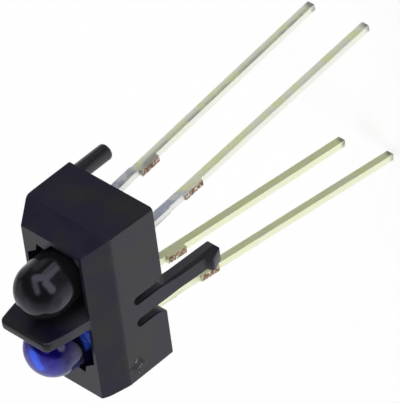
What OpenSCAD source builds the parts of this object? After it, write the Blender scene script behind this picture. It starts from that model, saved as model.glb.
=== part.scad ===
// Reflective optical sensor with long leads.
// The origin is the middle of the seat, the face that lies on the board. The lenses point along +Z and
// the leads run to -Z. The dark detector lens is at +X, the clear blue emitter lens at -X, and the snap
// clip is on the -Y side.

/* [Housing] */
// Length of the housing at the seat
body_l = 10.2; // [9.9:0.1:10.8]
// Width of the housing at the seat
body_w = 5.8; // [5.7:0.1:6.4]
// Height of the shoulder, where the long sides start to lean in
shoulder_z = 3.0; // [2.7:0.1:3.3]
// Height of the front face
front_z = 4.3; // [4.2:0.1:4.5]
// Height of the top of the barrier between the lenses
overall_h = 7.0; // [6.8:0.1:7.4]
// Set-back of the detector end between shoulder and front face
end_setback = 0.65; // [0.4:0.05:0.7]
// Set-back of each long side between shoulder and front face
side_setback = 0.78; // [0.5:0.02:0.8]
// Draft of all four sides, in degrees
draft = 1.4; // [0:0.2:1.6]
// Radius of the fold where a long side starts to lean in
fold_r = 0.6; // [0.2:0.1:0.8]
// Corner cut at the emitter end, measured along the length
corner_cut_l = 0.5; // [0.3:0.05:0.6]
// Corner cut at the emitter end, measured across the width
corner_cut_w = 0.82; // [0.5:0.02:0.9]
// Radius of the two corners at the detector end, which fades out towards the shoulder
corner_r = 0.28; // [0.24:0.01:0.29]

/* [Barrier] */
// Thickness of the barrier between the two lenses
barrier_t = 0.56; // [0.5:0.02:0.6]
// Place of the middle of the barrier along the length
barrier_x = 0.05; // [-0.05:0.01:0.1]
// Length of the barrier along its top edge
barrier_top_l = 3.26; // [2.8:0.02:3.4]
// Radius of the two top corners of the barrier
barrier_corner_r = 0.35; // [0.2:0.05:0.4]
// Radius along the top edge of the barrier
barrier_edge_r = 0.15; // [0.1:0.01:0.2]

/* [Lens pockets] */
// Distance of the detector's axis from the middle, at the seat
detector_x = 2.56; // [2.52:0.01:2.6]
// Lean of the detector's axis towards the barrier, in degrees
detector_tilt = 6.8; // [6.5:0.1:7.2]
// Distance of the emitter's axis from the middle, at the seat
emitter_x = 2.66; // [2.6:0.01:2.68]
// Lean of the emitter's axis towards the barrier, in degrees
emitter_tilt = 7.6; // [7.2:0.1:7.9]
// Half width of a pocket, across the housing
pocket_half_w = 1.85; // [1.82:0.01:1.87]
// Distance from the lens axis to the outer wall of its pocket
pocket_outer = 2.08; // [2.04:0.01:2.12]
// Height of the shelf under the locating ribs, where the lens flange stops
rib_z = 1.3; // [1.1:0.1:1.6]
// Height of the two locating ribs that end below the front face
low_rib_z = 3.8; // [3.4:0.1:4]

/* [Lens packages] */
// Diameter of a lens
lens_d = 3.0; // [2.9:0.05:3.1]
// Distance of the dome's centre from the seat, along the lens axis
dome_z = 5.26; // [5.1:0.02:5.3]
// Diameter of the flange behind a lens
flange_d = 3.6; // [3.5:0.02:3.6]
// Depth of the moulded base above the seat
base_z = 0.3; // [0.25:0.05:0.5]
// Distance of the flat on the flange from the lens axis
flange_flat = 1.62; // [1.6:0.01:1.7]

/* [Leads] */
// Width of a lead
lead_w = 0.46; // [0.4:0.02:0.5]
// Width of the shoulder where a lead leaves its lens
shoulder_w = 0.58; // [0.52:0.02:0.6]
// Length of the shoulder below the seat, on the leads that carry the chips
chip_shoulder_l = 3.0; // [1.5:0.1:3]
// Length of the shoulder below the seat, on the leads that take the bond wires
post_shoulder_l = 2.1; // [1.5:0.1:2.9]
// Thickness of a lead
lead_t = 0.4; // [0.36:0.02:0.44]
// Spacing of the emitter's two leads at the seat
emitter_pitch = 2.3; // [2.2:0.05:2.5]
// Spacing of the detector's two leads at the seat
detector_pitch = 3.0; // [2.9:0.05:3.1]
// How far a lead's tip stands out from its root
lead_splay = 0.18; // [0:0.02:0.3]
// Length of the emitter's anode lead below the seat
anode_l = 18.1; // [16:0.1:19]
// Length of the emitter's cathode lead below the seat
cathode_l = 17.3; // [15:0.1:18]
// Length of the detector's emitter lead below the seat
transistor_emitter_l = 17.0; // [15:0.1:18]
// Length of the detector's collector lead below the seat
collector_l = 16.6; // [15:0.1:18]
// Length of the sheared tie-bar stub along a lead
stub_l = 1.3; // [1:0.1:1.5]
// How far the stub stands out of a lead that carries a chip, between the leads
stub_inner = 0.22; // [0.1:0.02:0.3]
// How far the stub stands out of a lead that takes a bond wire, on its outer side
stub_outer = 0.12; // [0.04:0.02:0.2]

/* [Snap clip] */
// Place of the middle of the clip along the length
clip_x = -0.53; // [-0.56:0.01:-0.5]
// Width of the clip between the slots
clip_root_w = 0.92; // [0.86:0.02:0.98]
// Width of the free arm
clip_arm_w = 0.76; // [0.6:0.02:0.8]
// Thickness of the clip arm at the seat
clip_t = 0.75; // [0.66:0.01:0.8]
// How far the arm leans out by its catch
clip_lean = 0.23; // [0.1:0.01:0.3]
// Width of the slots beside the clip
slot_w = 0.52; // [0.4:0.02:0.56]
// Depth of the slots from the seat
slot_depth = 2.02; // [1.8:0.02:2.2]
// How much wider a slot is at the seat
slot_flare = 0.22; // [0.1:0.02:0.3]
// Height of the flare of a slot
slot_flare_z = 0.55; // [0.4:0.05:0.8]
// Distance from the seat to the end of the clip
clip_l = 3.78; // [3.6:0.02:3.9]
// Distance from the seat to the catch face of the barb
catch_z = 2.82; // [2.6:0.02:2.9]
// How far the barb stands out of the arm
barb_out = 0.3; // [0.2:0.02:0.4]

/* [Peg] */
// Diameter of the locating peg
peg_d = 0.9; // [0.8:0.02:0.94]
// Length of the locating peg
peg_l = 2.15; // [2:0.05:2.4]
// Place of the peg along the length
peg_x = 4.56; // [4.5:0.01:4.58]
// Place of the peg across the width
peg_y = 2.33; // [2.33:0.01:2.4]
// Radius round the tip of the peg
peg_tip_r = 0.18; // [0.1:0.02:0.18]

/* [Hidden] */

EMITTER = -1;
DETECTOR = 1;

half_l = body_l / 2;
half_w = body_w / 2;
past = 1;
draft_per_mm = tan(draft);
shoulder_half_w = half_w - draft_per_mm * shoulder_z;
front_half_w = shoulder_half_w - side_setback;
side_lean = side_setback / (front_z - shoulder_z);

pocket_top = front_z + past;

barrier_top_y = barrier_top_l / 2;
barrier_sink = 0.5;
barrier_foot_z = front_z - barrier_sink;
barrier_slope = (front_half_w - barrier_top_y) / (overall_h - front_z);
barrier_slope_len = sqrt(1 + barrier_slope * barrier_slope);
barrier_corner_y = barrier_top_y - barrier_corner_r * (barrier_slope_len - barrier_slope);

// Outline of one locating rib, from the lens axis: across the length, then across the width
rib_outline = [
    [0.60, 2.00], [0.76, 1.78], [1.16, 1.21], [1.62, 1.10],
    [1.53, 0.55], [2.02, 0.05], [2.30, 0.00], [2.30, 2.00]
];

// The clip in side view: it leaves the drafted face of the housing just above the seat
clip_inner = -half_w + clip_t;
root_z = 1.2;
root_inset = 0.05;
lean_z = 0.3;
lean_y = -half_w + draft_per_mm * lean_z;
lean_per_mm = clip_lean / (lean_z + catch_z);
arm_y = lean_y - clip_lean;
end_t = 0.84;
end_y = arm_y - 0.04;
barb_nose = 0.02;
barb_rise = 0.1;
barb_drop = 0.25;
slot_overlap = 0.01;
taper_z = 1;
slot_end_r = slot_w / 2;
slot_pitch = clip_root_w + slot_w;
slot_break = 0.15;
slot_inner = -pocket_half_w + slot_break;
peg_sink = 0.5;
corner_sink = 0.02;

// Inside the lens packages, heights are measured along the lens axis
barrel_sink = 0.2;
exit_pitch = 2.54;
bend_top = 0.2;
bend_bottom = -0.3;
neck_z = 0.9;
neck_top_z = 1.2;
head_foot_z = 1;
step_z = 0.1;
head_lap = 0.2;
inner_edge = 1.2;
head_r = 0.5;
head_z = 2.9;
head_top = 3.5;
cup_depth = 0.28;
cup_top_r = 0.4;
cup_floor_r = 0.25;
post_inner = 0.65;
post_outer = 1.05;
post_top = 3.6;
attach_t = 0.03;
led_chip = 0.3;
led_chip_h = 0.2;
pad_half = 0.45;
pad_t = 0.4;
pad_top = 3.2;
sensor_chip = 0.6;
sensor_chip_h = 0.22;
wire_r = 0.02;
ball_r = 0.05;
wire_loop_r = (post_inner + post_outer) / 4;
detector_stub_z = -3.8;
emitter_stub_z = -4.45;

// Outline of the arm under a chip and of the foot of a wire post
arm_near = 0.5;
arm_far = -0.3;
arm_high = 2.3;
arm_low = 1.9;
foot_low = 2.1;
foot_high = 2.8;

led_floor = head_top - cup_depth;
led_top = led_floor + attach_t + led_chip_h;
led_attach_r = 0.216;
sensor_top = pad_top + attach_t + sensor_chip_h;

black_plastic = [0.11, 0.11, 0.13];
black_epoxy = [0.05, 0.05, 0.06];
blue_epoxy = [0.10, 0.12, 0.75, 0.8];
tinned = [0.80, 0.80, 0.70];
gold = [0.95, 0.78, 0.30];
silver_glue = [0.72, 0.72, 0.74];
silicon = [0.28, 0.30, 0.38];

// Place of a lens axis at the seat and its lean, for either side
function axis_x(side) = side < 0 ? emitter_x : detector_x;
function axis_tilt(side) = side < 0 ? emitter_tilt : detector_tilt;

// Puts a shape on a lens axis. The local X axis points away from the barrier on either side.
module on_lens_axis(side) {
    translate([side * axis_x(side), 0, 0])
        rotate([0, -side * axis_tilt(side), 0])
            mirror([side < 0 ? 1 : 0, 0, 0])
                children();
}

// A profile drawn as length and height, given a width
module across_width(width) {
    rotate([90, 0, 0])
        linear_extrude(height = width, center = true)
            children();
}

// A profile drawn as width and height, given a length
module along_length(length) {
    rotate([90, 0, 90])
        linear_extrude(height = length, center = true)
            children();
}

// Side view of the block, with its drafted ends and the set-back at the detector end
module side_profile() {
    polygon([
        [-half_l, 0],
        [half_l, 0],
        [half_l - draft_per_mm * shoulder_z, shoulder_z],
        [half_l - draft_per_mm * shoulder_z - end_setback, front_z],
        [-half_l + draft_per_mm * front_z, front_z]
    ]);
}

// End view of the block: drafted sides, a round fold at each shoulder, and the lean above it
module end_profile() {
    lean_angle = atan(side_lean);
    fold_angle = (lean_angle - draft) / 2;
    run = fold_r * tan(fold_angle);
    low_y = shoulder_half_w + run * sin(draft);
    low_z = shoulder_z - run * cos(draft);
    high_y = shoulder_half_w - run * sin(lean_angle);
    high_z = shoulder_z + run * cos(lean_angle);
    fold_y = low_y - fold_r * cos(draft);
    fold_z = low_z - fold_r * sin(draft);
    top_y = front_half_w - side_lean * past;
    seat_y = half_w + draft_per_mm * past;
    polygon([
        [-seat_y, -past],
        [seat_y, -past],
        [low_y, low_z],
        [high_y, high_z],
        [top_y, front_z + past],
        [-top_y, front_z + past],
        [-high_y, high_z],
        [-low_y, low_z]
    ]);
    for (row = [-1, 1])
        translate([row * fold_y, fold_z])
            circle(r = fold_r, $fn = 128);
}

// The two corners that are cut off at the emitter end
module corner_cuts() {
    for (row = [-1, 1])
        mirror([0, row < 0 ? 1 : 0, 0])
            translate([-half_l, half_w, -past])
                linear_extrude(height = front_z + 2 * past)
                    polygon([
                        [2 * corner_cut_l, corner_cut_w],
                        [-corner_cut_l, -2 * corner_cut_w],
                        [-2 * corner_cut_l, corner_cut_w]
                    ]);
}

// The two corners at the detector end that are rounded towards the seat
module corner_rounds() {
    inset = corner_r - corner_sink;
    for (row = [-1, 1])
        mirror([0, row < 0 ? 1 : 0, 0])
            translate([half_l - inset, half_w - inset, -past])
                linear_extrude(height = front_z + 2 * past)
                    difference() {
                        square(past);
                        circle(r = corner_r, $fn = 96);
                    }
}

module block() {
    difference() {
        intersection() {
            across_width(body_w + 2 * past) side_profile();
            along_length(body_l + 4 * past) end_profile();
        }
        corner_cuts();
        corner_rounds();
    }
}

// The space round one lens, from the seat through the front face
module pocket_space(side) {
    inner = side * barrier_x + barrier_t / 2;
    drift = tan(axis_tilt(side));
    outer = axis_x(side) + pocket_outer;
    outer_low = outer + drift * past;
    outer_high = outer - drift * pocket_top;
    across_width(2 * pocket_half_w)
        polygon([
            [side * inner, -past],
            [side * outer_low, -past],
            [side * outer_high, pocket_top],
            [side * inner, pocket_top]
        ]);
}

// A notched rib in an outer corner of a pocket, which centres the lens and stops its flange
module locating_rib(row, top) {
    mirror([0, row < 0 ? 1 : 0, 0])
        translate([0, 0, rib_z])
            linear_extrude(height = top - rib_z)
                polygon(rib_outline);
}

module lens_pocket(side) {
    difference() {
        pocket_space(side);
        on_lens_axis(side)
            for (row = [-1, 1])
                locating_rib(row, row == side ? pocket_top + past : low_rib_z);
    }
}

// Front view of the barrier: sloping sides and two round top corners
module barrier_front() {
    tangent_y = barrier_corner_y + barrier_corner_r / barrier_slope_len;
    tangent_z = overall_h - barrier_corner_r + barrier_corner_r * barrier_slope / barrier_slope_len;
    foot_y = front_half_w + barrier_slope * (front_z - barrier_foot_z);
    polygon([
        [-foot_y, barrier_foot_z],
        [foot_y, barrier_foot_z],
        [tangent_y, tangent_z],
        [barrier_corner_y, overall_h],
        [-barrier_corner_y, overall_h],
        [-tangent_y, tangent_z]
    ]);
    for (row = [-1, 1])
        translate([row * barrier_corner_y, overall_h - barrier_corner_r])
            circle(r = barrier_corner_r, $fn = 64);
}

// Section of the barrier, round along its top edge
module barrier_section() {
    flat = barrier_t / 2 - barrier_edge_r;
    translate([-barrier_t / 2, barrier_foot_z - past])
        square([barrier_t, overall_h - barrier_edge_r - barrier_foot_z + past]);
    translate([-flat, overall_h - past])
        square([2 * flat, past]);
    for (face = [-1, 1])
        translate([face * flat, overall_h - barrier_edge_r])
            circle(r = barrier_edge_r, $fn = 48);
}

module barrier() {
    translate([barrier_x, 0, 0])
        intersection() {
            along_length(2 * barrier_t) barrier_front();
            across_width(body_w) barrier_section();
        }
}

// Front view of a slot beside the clip: a round end, and a flare at the seat on its outer side
module slot_outline() {
    straight = slot_depth - slot_end_r;
    flare = slot_end_r + slot_flare * (1 + past / slot_flare_z);
    translate([0, straight])
        circle(r = slot_end_r, $fn = 96);
    polygon([
        [-slot_end_r, -past],
        [flare, -past],
        [slot_end_r, slot_flare_z],
        [slot_end_r, straight],
        [-slot_end_r, straight]
    ]);
}

// The two slots in the side and the relief behind the clip
module clip_relief() {
    for (edge = [-1, 1])
        translate([clip_x + edge * slot_pitch / 2, slot_inner, 0])
            mirror([edge < 0 ? 1 : 0, 0, 0])
                rotate([90, 0, 0])
                    linear_extrude(height = half_w + slot_inner + past)
                        slot_outline();
    translate([clip_x - slot_pitch / 2, clip_inner, -past])
        cube([slot_pitch, slot_inner - clip_inner, slot_depth + past]);
}

// Side view of the clip: the leaning arm, the catch, the barb and its lead-in
module clip_profile() {
    polygon([
        [lean_y + lean_per_mm * (root_z - lean_z), root_z],
        [clip_inner - root_inset, root_z],
        [clip_inner - root_inset / 2, 0],
        [end_y + end_t, -clip_l],
        [end_y, -clip_l],
        [arm_y - barb_out - barb_nose, -catch_z - barb_drop],
        [arm_y - barb_out, -catch_z - barb_rise],
        [arm_y, -catch_z]
    ]);
}

// Front view of the clip, which narrows below the seat
module clip_outline() {
    root = clip_root_w / 2 - slot_overlap;
    arm = clip_arm_w / 2;
    polygon([
        [-root, root_z + past],
        [root, root_z + past],
        [root, 0],
        [arm, -taper_z],
        [arm, -clip_l - past],
        [-arm, -clip_l - past],
        [-arm, -taper_z],
        [-root, 0]
    ]);
}

module clip() {
    translate([clip_x, 0, 0])
        intersection() {
            along_length(2 * clip_root_w) clip_profile();
            across_width(3 * body_w) clip_outline();
        }
}

// Round peg with a soft tip, standing on the seat
module peg() {
    r = peg_d / 2;
    flat = r - peg_tip_r;
    translate([peg_x, peg_y, 0])
        mirror([0, 0, 1]) {
            translate([0, 0, -peg_sink])
                cylinder(r = r, h = peg_l - peg_tip_r + peg_sink, $fn = 64);
            rotate_extrude($fn = 64) {
                translate([0, peg_l - 2 * peg_tip_r])
                    square([flat, 2 * peg_tip_r]);
                translate([flat, peg_l - peg_tip_r])
                    circle(r = peg_tip_r, $fn = 48);
            }
        }
}

module housing() {
    color(black_plastic)
        union() {
            difference() {
                block();
                lens_pocket(EMITTER);
                lens_pocket(DETECTOR);
                clip_relief();
            }
            barrier();
            clip();
            peg();
        }
}

// Flange, barrel and dome of one lens, without the pieces inside it
module lens_blank() {
    difference() {
        translate([0, 0, base_z])
            cylinder(d = flange_d, h = rib_z - base_z, $fn = 96);
        translate([-flange_d, flange_flat, base_z - past])
            cube([2 * flange_d, flange_d, rib_z - base_z + 2 * past]);
    }
    translate([0, 0, rib_z - barrel_sink])
        cylinder(d = lens_d, h = dome_z - rib_z + barrel_sink, $fn = 96);
    translate([0, 0, dome_z])
        sphere(d = lens_d, $fn = 96);
}

// Distance of a lead's middle from the lens axis, at a height below its bend
function leg_y(pitch, length, z) =
    pitch / 2 + lead_splay * (bend_bottom - z) / (bend_bottom + length);

// Flat outline of a lead below the lens: shoulder, sheared tie-bar stub and slim leg.
// The outline is drawn as distance across the housing and height, on the +Y side.
module lead_leg(pitch, length, stub_z, shoulder_l, inner_out, outer_out) {
    exit = exit_pitch / 2;
    slim = lead_w / 2;
    wide = shoulder_w / 2;
    stub_top = stub_z + stub_l / 2;
    stub_bottom = stub_z - stub_l / 2;
    root = leg_y(pitch, length, bend_bottom);
    step = leg_y(pitch, length, -shoulder_l);
    upper = leg_y(pitch, length, stub_top);
    lower = leg_y(pitch, length, stub_bottom);
    tip = leg_y(pitch, length, -length);
    inner_stub = [
        [upper - slim, stub_top],
        [upper - slim - inner_out, stub_top],
        [lower - slim - inner_out, stub_bottom],
        [lower - slim, stub_bottom]
    ];
    outer_stub = [
        [lower + slim, stub_bottom],
        [lower + slim + outer_out, stub_bottom],
        [upper + slim + outer_out, stub_top],
        [upper + slim, stub_top]
    ];
    polygon([
        [exit - slim, neck_top_z],
        [exit - slim, bend_top],
        [root - wide, bend_bottom],
        [step - slim, -shoulder_l],
        each inner_out > 0 ? inner_stub : [],
        [tip - slim, -length],
        [tip + slim, -length],
        each outer_out > 0 ? outer_stub : [],
        [step + slim, -shoulder_l - step_z],
        [step + wide, -shoulder_l],
        [root + wide, bend_bottom],
        [exit + slim, bend_top],
        [exit + slim, neck_z],
        [inner_edge, neck_top_z]
    ]);
}

// Stamped lead whose head carries the chip, on the +Y side of a lens
module chip_lead(pitch, length, stub_z, top) {
    along_length(lead_t) {
        lead_leg(pitch, length, stub_z, chip_shoulder_l, stub_inner, 0);
        polygon([
            [exit_pitch / 2 - lead_w / 2, head_foot_z],
            [inner_edge, head_foot_z],
            [inner_edge, arm_high],
            [arm_near, top],
            [arm_far, top],
            [arm_far, arm_high],
            [arm_near, arm_low]
        ]);
    }
}

// Stamped lead that takes the bond wire, on the -Y side of a lens
module post_lead(pitch, length, stub_z) {
    mirror([0, 1, 0])
        along_length(lead_t) {
            lead_leg(pitch, length, stub_z, post_shoulder_l, 0, stub_outer);
            polygon([
                [exit_pitch / 2 - lead_w / 2, head_foot_z],
                [inner_edge, head_foot_z],
                [inner_edge, foot_high],
                [post_outer, post_top],
                [post_inner, post_top],
                [post_inner, foot_low]
            ]);
        }
}

// Round head with a conical reflector cup
module reflector_cup() {
    translate([0, 0, head_z])
        cylinder(r = head_r, h = head_top - head_z, $fn = 64);
}

module cup_space() {
    translate([0, 0, head_top - cup_depth])
        cylinder(r1 = cup_floor_r, r2 = cup_top_r + past * (cup_top_r - cup_floor_r) / cup_depth,
                 h = cup_depth + past, $fn = 64);
}

// Gold wire from the middle of a chip to the top of the post, with its ball
module bond_wire(chip_top) {
    translate([0, 0, chip_top])
        cylinder(r = wire_r, h = post_top - chip_top, $fn = 24);
    translate([0, 0, chip_top])
        cylinder(r = ball_r, h = ball_r, $fn = 32);
    translate([0, -wire_loop_r, post_top])
        rotate([90, 0, 90])
            rotate_extrude(angle = 180, $fn = 64)
                translate([wire_loop_r, 0])
                    circle(r = wire_r, $fn = 24);
}

module emitter_cathode_lead() {
    color(tinned)
        on_lens_axis(EMITTER)
            difference() {
                union() {
                    chip_lead(emitter_pitch, cathode_l, emitter_stub_z, head_z + head_lap);
                    reflector_cup();
                }
                cup_space();
            }
}

module emitter_anode_lead() {
    color(tinned)
        on_lens_axis(EMITTER)
            post_lead(emitter_pitch, anode_l, emitter_stub_z);
}

module emitter_die_attach() {
    color(silver_glue)
        on_lens_axis(EMITTER)
            translate([0, 0, led_floor])
                cylinder(r = led_attach_r, h = attach_t, $fn = 48);
}

module emitter_chip() {
    color(silicon)
        on_lens_axis(EMITTER)
            translate([-led_chip / 2, -led_chip / 2, led_floor + attach_t])
                cube([led_chip, led_chip, led_chip_h]);
}

module emitter_bond_wire() {
    color(gold)
        on_lens_axis(EMITTER)
            bond_wire(led_top);
}

module emitter_lens() {
    color(blue_epoxy)
        difference() {
            on_lens_axis(EMITTER) lens_blank();
            emitter_cathode_lead();
            emitter_anode_lead();
            emitter_die_attach();
            emitter_chip();
            emitter_bond_wire();
        }
}

module detector_collector_lead() {
    color(tinned)
        on_lens_axis(DETECTOR) {
            chip_lead(detector_pitch, collector_l, detector_stub_z, pad_top - pad_t / 2);
            translate([-pad_half, -pad_half, pad_top - pad_t])
                cube([2 * pad_half, 2 * pad_half, pad_t]);
        }
}

module detector_emitter_lead() {
    color(tinned)
        on_lens_axis(DETECTOR)
            post_lead(detector_pitch, transistor_emitter_l, detector_stub_z);
}

module detector_die_attach() {
    color(silver_glue)
        on_lens_axis(DETECTOR)
            translate([-sensor_chip / 2, -sensor_chip / 2, pad_top])
                cube([sensor_chip, sensor_chip, attach_t]);
}

module detector_chip() {
    color(silicon)
        on_lens_axis(DETECTOR)
            translate([-sensor_chip / 2, -sensor_chip / 2, pad_top + attach_t])
                cube([sensor_chip, sensor_chip, sensor_chip_h]);
}

module detector_bond_wire() {
    color(gold)
        on_lens_axis(DETECTOR)
            bond_wire(sensor_top);
}

module detector_lens() {
    color(black_epoxy)
        difference() {
            on_lens_axis(DETECTOR) lens_blank();
            detector_collector_lead();
            detector_emitter_lead();
            detector_die_attach();
            detector_chip();
            detector_bond_wire();
        }
}

housing();
emitter_lens();
emitter_cathode_lead();
emitter_anode_lead();
emitter_chip();
emitter_die_attach();
emitter_bond_wire();
detector_lens();
detector_collector_lead();
detector_emitter_lead();
detector_chip();
detector_die_attach();
detector_bond_wire();
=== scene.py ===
"""Scene for a snap-in reflective optical sensor: moulded housing, two lenses and their long leads.

Everything is modelled in millimetres on the bench, with the seat of the housing at zero, and is then
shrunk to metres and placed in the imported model's frame.
"""

import logging
import math
from collections.abc import Callable, Iterator, Sequence
from contextlib import contextmanager
from dataclasses import dataclass, replace
from enum import Enum
from typing import TypeAlias

import bmesh
import bpy
from mathutils import Matrix, Vector


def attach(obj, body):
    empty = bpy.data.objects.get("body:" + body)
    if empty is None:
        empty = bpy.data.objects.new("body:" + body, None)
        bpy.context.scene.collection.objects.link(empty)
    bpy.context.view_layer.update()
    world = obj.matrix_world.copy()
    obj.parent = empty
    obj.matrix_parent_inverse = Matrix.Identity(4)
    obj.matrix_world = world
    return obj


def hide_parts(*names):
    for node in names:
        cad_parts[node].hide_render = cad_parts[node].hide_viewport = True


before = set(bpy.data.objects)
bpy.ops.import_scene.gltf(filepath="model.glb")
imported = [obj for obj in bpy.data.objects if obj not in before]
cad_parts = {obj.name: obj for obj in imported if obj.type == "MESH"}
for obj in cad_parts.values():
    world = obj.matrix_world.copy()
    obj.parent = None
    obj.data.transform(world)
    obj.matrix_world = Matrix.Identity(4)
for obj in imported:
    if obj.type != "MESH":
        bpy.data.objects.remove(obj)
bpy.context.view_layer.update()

IMAGE_SIZE = (400, 403)
FILM_MM = 36.0
MM = 0.001
TO_METRES = Matrix.Scale(MM, 4)
X, Y, Z = range(3)

# Places this close together count as one, in millimetres
NEAR = 0.01
DOUBLE = 1e-4

# A normal with this much along an axis faces that way
FACES = 0.5

logging.basicConfig(level=logging.INFO, format="%(message)s")
LOG = logging.getLogger("sensor")

Point: TypeAlias = tuple[float, float]
Vertex: TypeAlias = tuple[float, float, float]
Colour: TypeAlias = tuple[float, float, float]
Amount: TypeAlias = "Value | float"
Material: TypeAlias = bpy.types.Material


class Side(Enum):
    """Which lens a piece belongs to; the value is the sign of its place along the housing."""

    EMITTER = -1
    DETECTOR = 1


class Kind(Enum):
    """What is selected on a mesh in edit mode; the value is the mesh's own list of them."""

    VERT = "verts"
    EDGE = "edges"
    FACE = "faces"


# Modelling


def clear_selection() -> None:
    """Deselects every object."""
    bpy.ops.object.select_all(action="DESELECT")


def make_active(obj: bpy.types.Object) -> None:
    """Selects one object alone.

    Args:
        obj: The object that the next operator acts on.
    """
    clear_selection()
    obj.select_set(True)
    bpy.context.view_layer.objects.active = obj


def extrude(step: Sequence[float]) -> None:
    """Extrudes the selection by a step."""
    bpy.ops.mesh.extrude_region_move(TRANSFORM_OT_translate={"value": step})


def resize(*factors: float) -> None:
    """Scales the selection about the origin."""
    bpy.ops.transform.resize(value=factors, center_override=(0, 0, 0))


def slope(degrees: float) -> float:
    """How far a face that leans by an angle moves over for each millimetre of height."""
    return math.tan(math.radians(degrees))


def reach(edge: bmesh.types.BMEdge, axis: int) -> float:
    """How far an edge reaches along an axis."""
    return abs(edge.verts[0].co[axis] - edge.verts[1].co[axis])


def arc(centre: Point, radius: float, start: float, end: float, steps: int) -> list[Point]:
    """Points along an arc between two angles in degrees, both ends among them."""
    angles = [math.radians(start + (end - start) * i / steps) for i in range(steps + 1)]
    return [(centre[0] + radius * math.cos(a), centre[1] + radius * math.sin(a)) for a in angles]


@dataclass
class Bench:
    """One mesh on the bench, shaped with the modelling operators."""

    obj: bpy.types.Object

    @classmethod
    def block(cls, low: Vertex, high: Vertex) -> "Bench":
        """A box between two corners.

        Args:
            low: Lowest corner.
            high: Highest corner.

        Returns:
            The new mesh.
        """
        clear_selection()
        bpy.ops.mesh.primitive_cube_add(size=1, location=[(a + b) / 2 for a, b in zip(low, high)])
        bench = cls(bpy.context.active_object)
        bench.obj.scale = [b - a for a, b in zip(low, high)]
        return bench.settle()

    @classmethod
    def chain(cls, points: Sequence[Sequence[float]]) -> "Bench":
        """An open chain of edges, drawn from one vertex by extruding it from point to point.

        Args:
            points: The places that the chain runs through.

        Returns:
            The new mesh, with its edges only.
        """
        clear_selection()
        bpy.ops.mesh.primitive_plane_add(size=1, location=(0, 0, 0))
        bench = cls(bpy.context.active_object)
        with bench.editing():
            bpy.ops.mesh.select_mode(type="VERT")
            bpy.ops.mesh.merge(type="CENTER")
            bpy.ops.transform.translate(value=points[0])
            for before, after in zip(points, points[1:]):
                extrude([b - a for a, b in zip(before, after)])
        return bench

    @classmethod
    def prism(cls, outline: Sequence[Point], axes: str, start: float, end: float) -> "Bench":
        """A closed outline given a thickness.

        Args:
            outline: Corners of the outline.
            axes: The two axes that the outline is drawn on, such as "YZ".
            start: Where the thickness starts on the third axis.
            end: Where it ends.

        Returns:
            The new mesh.
        """
        places = [dict(zip(axes, corner)) for corner in outline]
        bench = cls.chain([[place.get(axis, start) for axis in "XYZ"] for place in places])
        with bench.editing():
            bpy.ops.mesh.edge_face_add()
            extrude([0.0 if axis in axes else end - start for axis in "XYZ"])
            bench.face_out()
        return bench

    @classmethod
    def turned(cls, profile: Sequence[Point], steps: int) -> "Bench":
        """A profile turned round the upright axis.

        Args:
            profile: Distance from the axis and height of each point, from axis to axis.
            steps: Number of stretches round the axis.

        Returns:
            The new mesh.
        """
        bench = cls.chain([(r, 0.0, z) for r, z in profile])
        with bench.editing():
            bpy.ops.mesh.spin(steps=steps, angle=math.tau, center=(0, 0, 0), axis=(0, 0, 1))
            bench.merge_doubles()
            bench.face_out()
        return bench

    @contextmanager
    def editing(self) -> Iterator[None]:
        """Opens the mesh in edit mode with all of it selected, and closes it again."""
        make_active(self.obj)
        bpy.ops.object.mode_set(mode="EDIT")
        try:
            bpy.ops.mesh.select_all(action="SELECT")
            yield
        finally:
            bpy.ops.object.mode_set(mode="OBJECT")

    def pick(self, kind: Kind, test: Callable[[object], bool]) -> None:
        """Selects what passes a test, and nothing else. The mesh is in edit mode.

        Args:
            kind: Faces, edges or vertices.
            test: Says whether one of them is wanted.
        """
        bpy.ops.mesh.select_mode(type=kind.name)
        bpy.ops.mesh.select_all(action="DESELECT")
        mesh = bmesh.from_edit_mesh(self.obj.data)
        for item in [item for item in getattr(mesh, kind.value) if test(item)]:
            item.select_set(True)
        mesh.select_flush_mode()
        bmesh.update_edit_mesh(self.obj.data)

    def face_out(self) -> None:
        """Turns every face outwards. The mesh is in edit mode."""
        bpy.ops.mesh.select_all(action="SELECT")
        bpy.ops.mesh.normals_make_consistent(inside=False)

    def merge_doubles(self) -> None:
        """Merges vertices that lie on each other. The mesh is in edit mode."""
        bpy.ops.mesh.select_all(action="SELECT")
        bpy.ops.mesh.remove_doubles(threshold=DOUBLE)

    def cut_off(self, point: Vertex, normal: Vertex) -> None:
        """Cuts away what lies beyond a plane and closes the cut.

        Args:
            point: A point of the plane.
            normal: Points to the side that goes.
        """
        plane = {"plane_co": point, "plane_no": normal}
        with self.editing():
            bpy.ops.mesh.bisect(**plane, use_fill=True, clear_outer=True, threshold=DOUBLE / 10)

    def round_edges(self, test: Callable[[object], bool], width: float, segments: int) -> "Bench":
        """Rounds the edges that pass a test.

        Args:
            test: Says whether an edge is rounded.
            width: Width of the round.
            segments: Number of stretches over it.

        Returns:
            The same mesh.
        """
        with self.editing():
            self.pick(Kind.EDGE, test)
            bpy.ops.mesh.bevel(offset=width, segments=segments, affect="EDGES")
        return self

    def modify(self, kind: str, **settings: object) -> None:
        """Adds a modifier and applies it.

        Args:
            kind: Type of the modifier.
            **settings: What is set on it.
        """
        make_active(self.obj)
        modifier = self.obj.modifiers.new(kind.title(), kind)
        for name, value in settings.items():
            setattr(modifier, name, value)
        bpy.ops.object.modifier_apply(modifier=modifier.name)

    def combine(self, other: "Bench", operation: str) -> None:
        """Joins another mesh to this one or takes it away, and uses it up.

        Args:
            other: The other mesh.
            operation: UNION, DIFFERENCE or INTERSECT.
        """
        self.modify("BOOLEAN", object=other.obj, operation=operation, solver="EXACT")
        spare = other.obj.data
        bpy.data.objects.remove(other.obj)
        bpy.data.meshes.remove(spare)

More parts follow.
